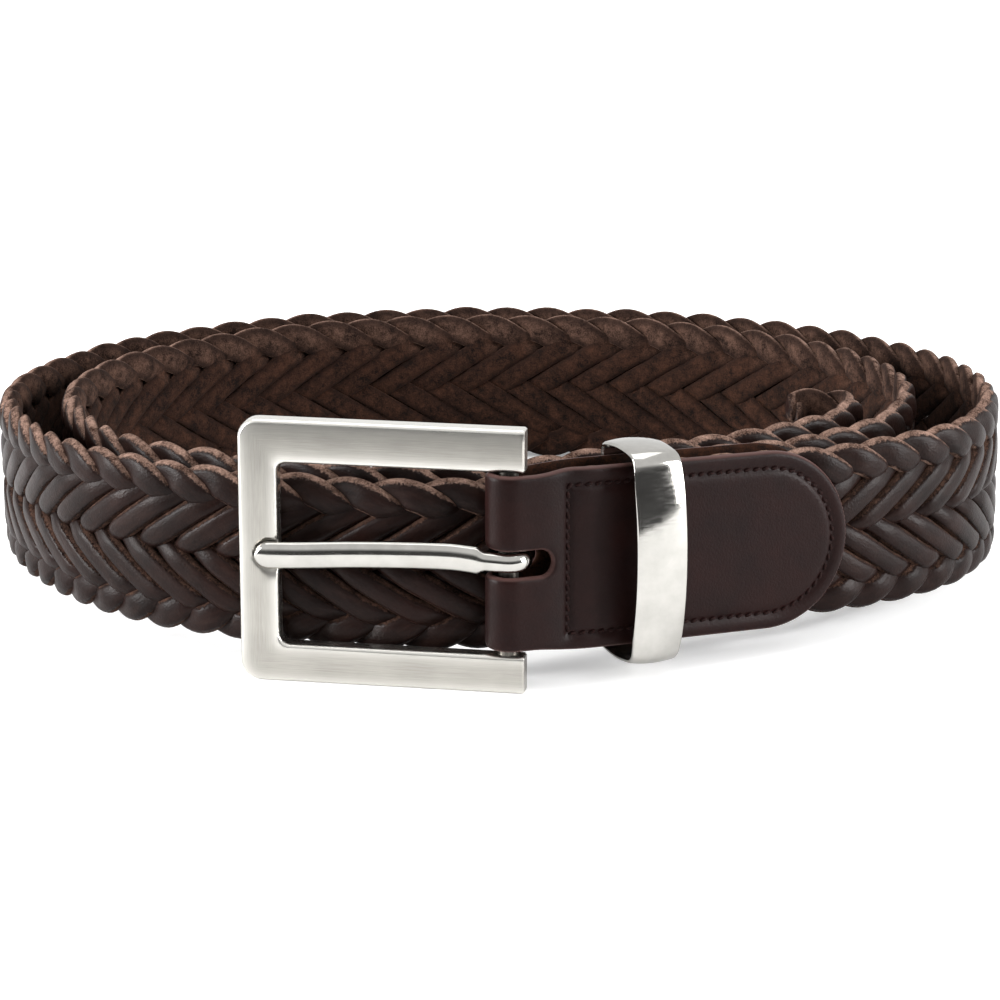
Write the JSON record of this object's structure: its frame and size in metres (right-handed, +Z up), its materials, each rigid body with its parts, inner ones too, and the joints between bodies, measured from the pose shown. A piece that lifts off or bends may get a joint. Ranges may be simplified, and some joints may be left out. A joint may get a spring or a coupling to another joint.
{
  "type": "braided belt",
  "caption": "Braided leather belt coiled on its edge, with a smooth leather tab, an open pin buckle and a metal keeper loop.",
  "frame": {"origin": "on the surface the belt rests on, under the middle of its box", "axes": "+Z up, the buckle faces -Y, +X to the right as seen from the buckle's side"},
  "size_m": [0.1864, 0.1644, 0.0458],
  "materials": {
    "braided_leather": "dark brown braided leather, satin grain side out",
    "tab_leather": "smooth oxblood brown leather with painted edges",
    "brushed_nickel": "satin brushed nickel plate",
    "polished_nickel": "polished nickel plate"
  },
  "bodies": {
    "strap": {"braided_strap": "braided_leather", "buckle_tab": "tab_leather", "keeper": "polished_nickel"},
    "frame": {"buckle_frame": "brushed_nickel"},
    "prong": {"prong": "polished_nickel"}
  },
  "joints": [
    {"name": "buckle_swing", "type": "hinge", "parent": "strap", "child": "frame", "pos_m": [0.00122, -0.07825, 0.0229], "axis": [0, 0, 1], "range_deg": [0, 65]},
    {"name": "prong_swing", "type": "hinge", "parent": "frame", "child": "prong", "pos_m": [0.00122, -0.07825, 0.0229], "axis": [0, 0, 1], "range_deg": [0, 65]}
  ]
}
